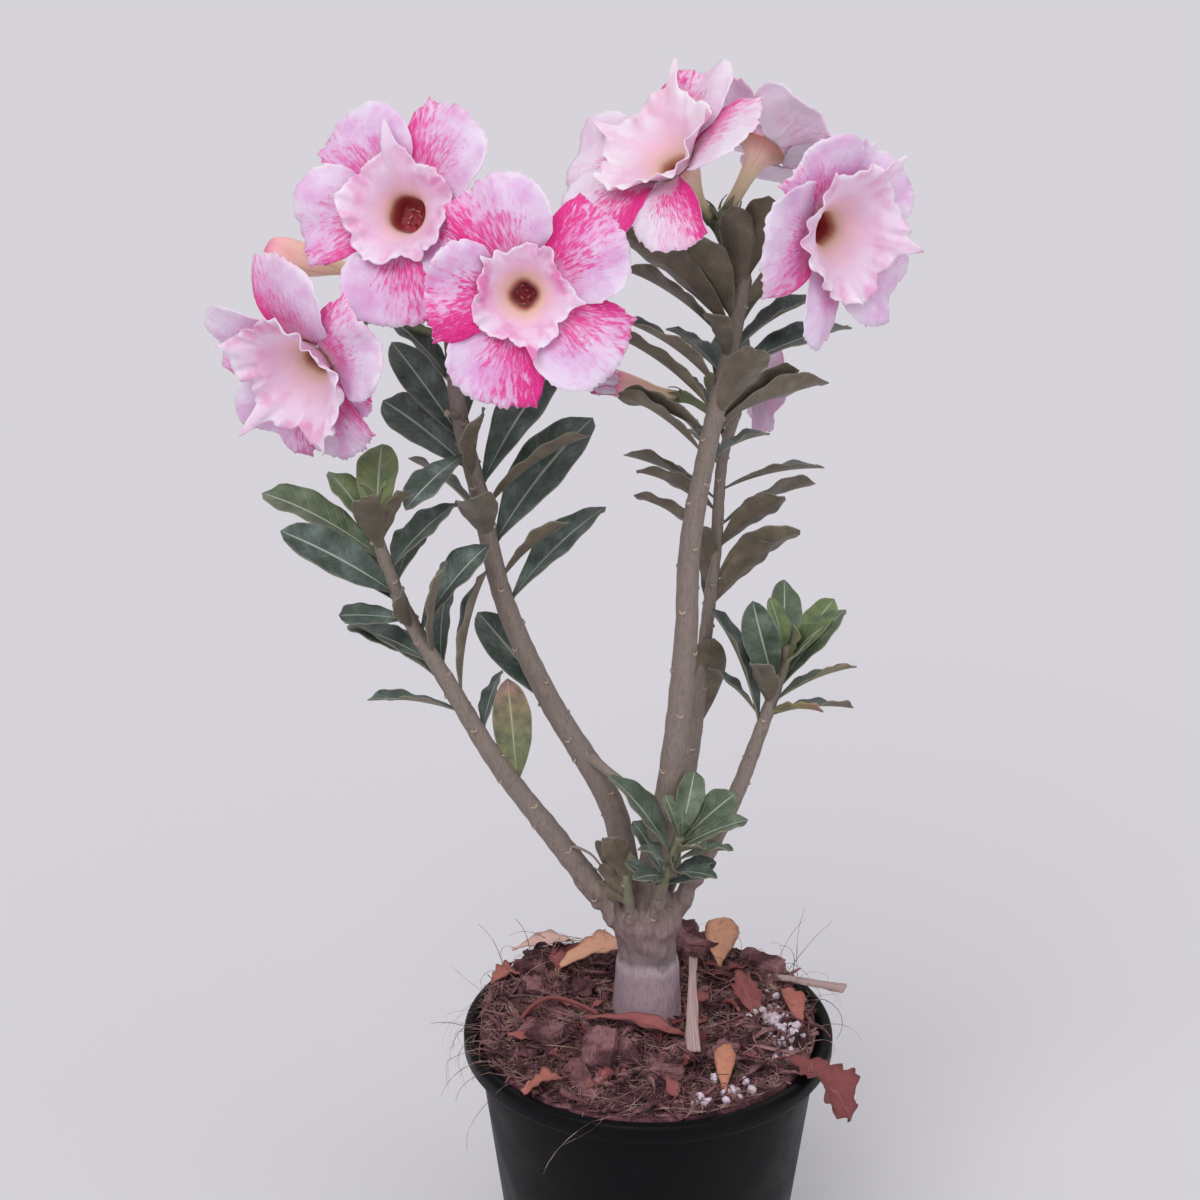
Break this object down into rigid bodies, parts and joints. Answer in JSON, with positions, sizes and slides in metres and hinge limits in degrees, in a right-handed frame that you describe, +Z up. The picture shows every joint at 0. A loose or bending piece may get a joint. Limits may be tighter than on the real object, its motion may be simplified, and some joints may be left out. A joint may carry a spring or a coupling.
{
  "type": "potted desert rose adenium",
  "caption": "Desert rose with a grafted swollen trunk, leafy shoots and double pink flowers, growing in coir mix in a plain black nursery pot.",
  "frame": {"origin": "centre of the pot's underside, where it stands", "axes": "+Z up, +X to the right and -Y to the front as the picture sees the plant"},
  "size_m": [0.2628, 0.15, 0.515],
  "materials": {
    "pot": "black moulded plastic, slightly shiny",
    "growing_medium": "rough coir husk and bark chips",
    "bark": "matt grey-brown bark with leaf scars",
    "leaf": "waxy dark green with a pale midrib",
    "petal": "soft blush pink with deep pink streaks and edges",
    "dead_leaf": "dry rust-brown leaf",
    "dry_wood": "weathered split wood"
  },
  "bodies": {
    "root": {"pot": "pot", "growing_medium": "growing_medium", "caudex_and_branches": "bark", "leafy_shoot_left_low": "leaf", "leafy_shoot_left_tall": "leaf", "leafy_shoot_centre_tall": "leaf", "leafy_shoot_centre_back": "leaf", "leafy_shoot_right_low": "leaf", "leafy_shoot_front_short": "leaf", "leafy_shoot_basal": "leaf", "bloom_left_low": "petal", "bloom_left_top": "petal", "bloom_left_front": "petal", "bloom_centre": "petal", "bloom_right": "petal", "bloom_behind": "petal", "bloom_back": "petal", "half_open_bud": "petal", "closed_bud": "petal", "fallen_leaf_back_left": "dead_leaf", "fallen_leaf_behind_trunk": "dead_leaf", "fallen_leaf_back_right": "dead_leaf", "fallen_leaf_left": "dead_leaf", "fallen_leaf_long": "dead_leaf", "fallen_leaf_right": "dead_leaf", "fallen_leaf_mid_right": "dead_leaf", "fallen_leaf_front_right": "dead_leaf", "fallen_leaf_front_left": "dead_leaf", "fallen_leaf_on_rim": "dead_leaf", "bark_strip_front": "dry_wood", "bark_strip_right": "dry_wood"}
  },
  "joints": []
}
